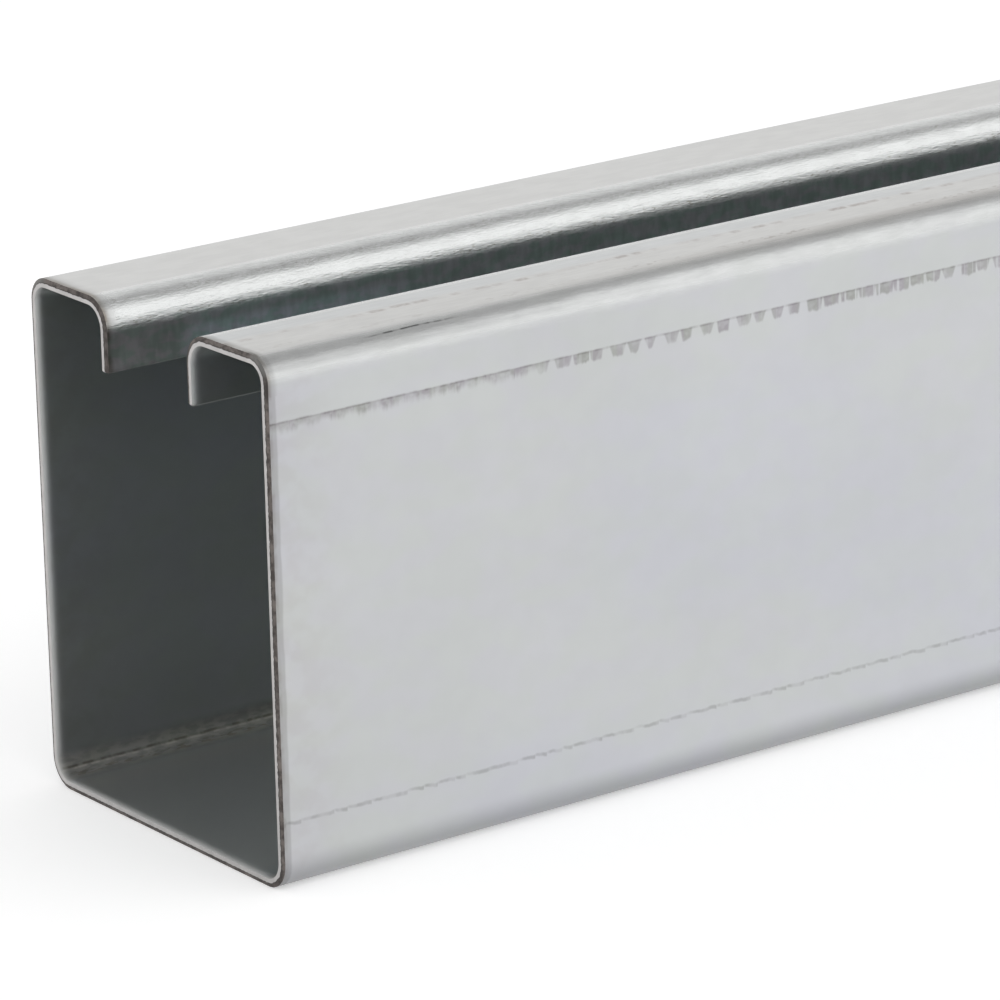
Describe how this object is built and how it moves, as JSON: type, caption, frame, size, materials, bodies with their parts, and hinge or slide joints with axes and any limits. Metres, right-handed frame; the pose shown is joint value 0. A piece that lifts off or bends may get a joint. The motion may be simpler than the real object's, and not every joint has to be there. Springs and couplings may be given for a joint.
{
  "type": "box rail",
  "caption": "Straight length of galvanised sliding-door box rail: an open rectangular channel with inturned flanges and lips beside a full-length slot.",
  "frame": {"origin": "on the floor under the middle of the rail: the centre of the flat back, at half length", "axes": "+X along the rail, +Y across it, +Z from the flat back up towards the slot"},
  "size_m": [1.829, 0.048, 0.062],
  "materials": {
    "galvanised_steel": "zinc-coated strip, dull and faintly mottled, with rolling marks"
  },
  "bodies": {
    "root": {"box_rail": "galvanised_steel"}
  },
  "joints": []
}
